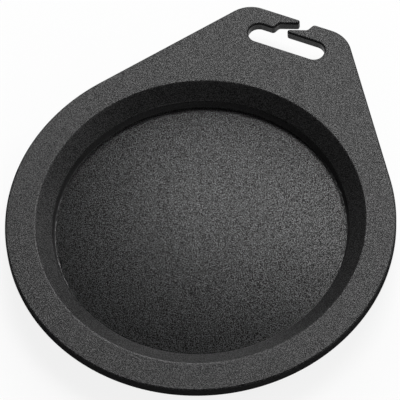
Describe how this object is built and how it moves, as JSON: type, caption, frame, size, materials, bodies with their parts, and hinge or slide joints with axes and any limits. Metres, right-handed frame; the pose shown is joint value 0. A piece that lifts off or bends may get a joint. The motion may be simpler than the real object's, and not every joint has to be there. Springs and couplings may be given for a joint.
{
  "type": "lens cap",
  "caption": "Push-in lens cap with a dished round front, a flat rim and a tapered tab whose strap slot opens between overlapping slanted fingers.",
  "frame": {"origin": "on the plug's axis, in the plane of the foot ring that the cap stands on", "axes": "+Z along the plug's axis towards the front of the cap, +Y along the tab"},
  "size_m": [0.0578, 0.0672, 0.0053],
  "materials": {
    "cap_plastic": "fine mould grain, satin black"
  },
  "bodies": {
    "root": {"lens_cap": "cap_plastic"}
  },
  "joints": []
}
